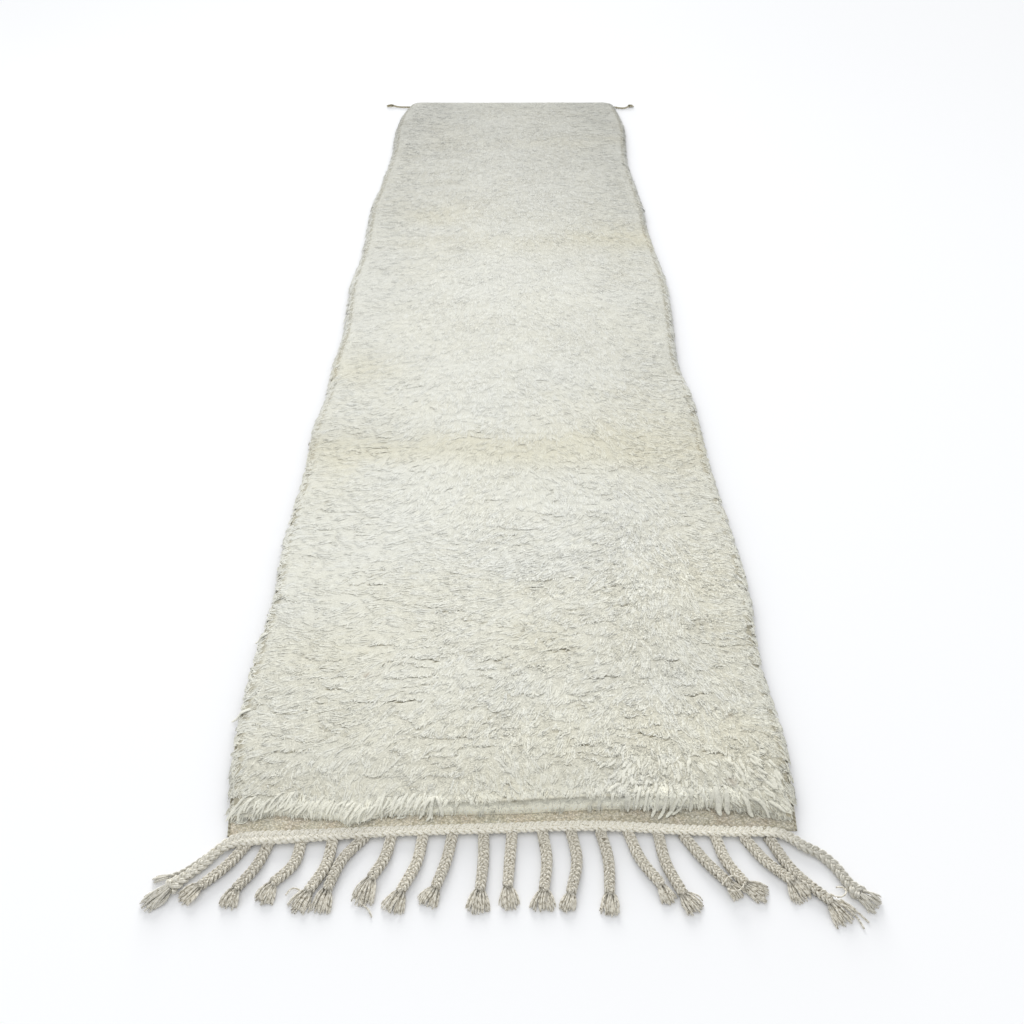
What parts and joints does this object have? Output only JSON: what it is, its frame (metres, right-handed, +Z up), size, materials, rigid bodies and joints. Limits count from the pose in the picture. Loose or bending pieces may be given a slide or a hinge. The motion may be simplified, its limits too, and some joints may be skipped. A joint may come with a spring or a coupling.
{
  "type": "beni ourain rug",
  "caption": "Long, narrow, undyed knotted wool runner with a deep shaggy pile and a plaited, tasselled fringe at its front end.",
  "frame": {"origin": "on the floor, under the middle of the woven cloth, halfway between the front of its heading cord and the back of its back cord", "axes": "+Z up, -Y towards the fringed front end, +X to the right as seen from that end"},
  "size_m": [0.9352, 3.2035, 0.0262],
  "materials": {
    "ground_weave": "flat-woven tan and olive wool",
    "pile": "brushed undyed ivory wool, long knotted locks",
    "heading_cord": "plaited cream wool cord",
    "fringe": "plaited grey-beige warp yarn with flecks",
    "back_cord": "twisted olive-beige wool"
  },
  "bodies": {
    "root": {"ground_weave": "ground_weave", "pile": "pile", "heading_cord": "heading_cord", "fringe": "fringe", "back_cord": "back_cord"}
  },
  "joints": []
}
